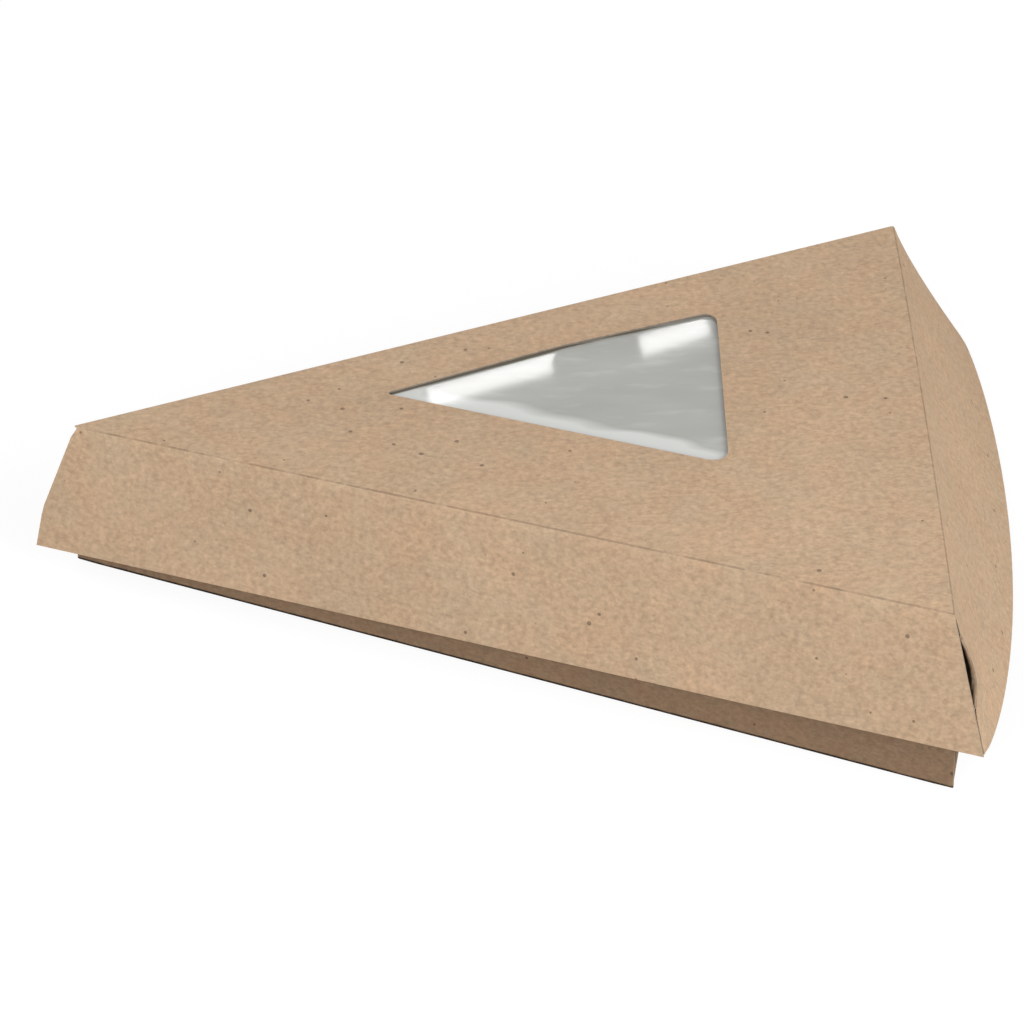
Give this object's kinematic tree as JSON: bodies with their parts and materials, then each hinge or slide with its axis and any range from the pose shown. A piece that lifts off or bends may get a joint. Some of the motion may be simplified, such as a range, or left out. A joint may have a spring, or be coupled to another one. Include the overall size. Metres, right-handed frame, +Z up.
{
  "type": "pizza slice box",
  "caption": "Wedge-shaped folded kraft board box for a slice of pizza, with a skirted lid hinged along one long side and a triangular clear film window.",
  "frame": {"origin": "underside of the tray's floor, on the box's centre line two thirds of the way from the tip to the crust side", "axes": "+X from the tip to the crust side, +Y from the front long side to the hinged long side, +Z up"},
  "size_m": [0.2479, 0.1918, 0.0516],
  "materials": {
    "tray_board": "uncoated brown kraft board",
    "lid_board": "uncoated brown kraft board",
    "clear_film": "thin glossy clear film"
  },
  "bodies": {
    "tray": {"tray": "tray_board"},
    "lid": {"lid": "lid_board", "window_film": "clear_film"}
  },
  "joints": [
    {"name": "lid_hinge", "type": "hinge", "parent": "tray", "child": "lid", "pos_m": [-0.14167, 0, 0.04155], "axis": [-0.9239, -0.3827, 0], "range_deg": [0, 190]}
  ]
}
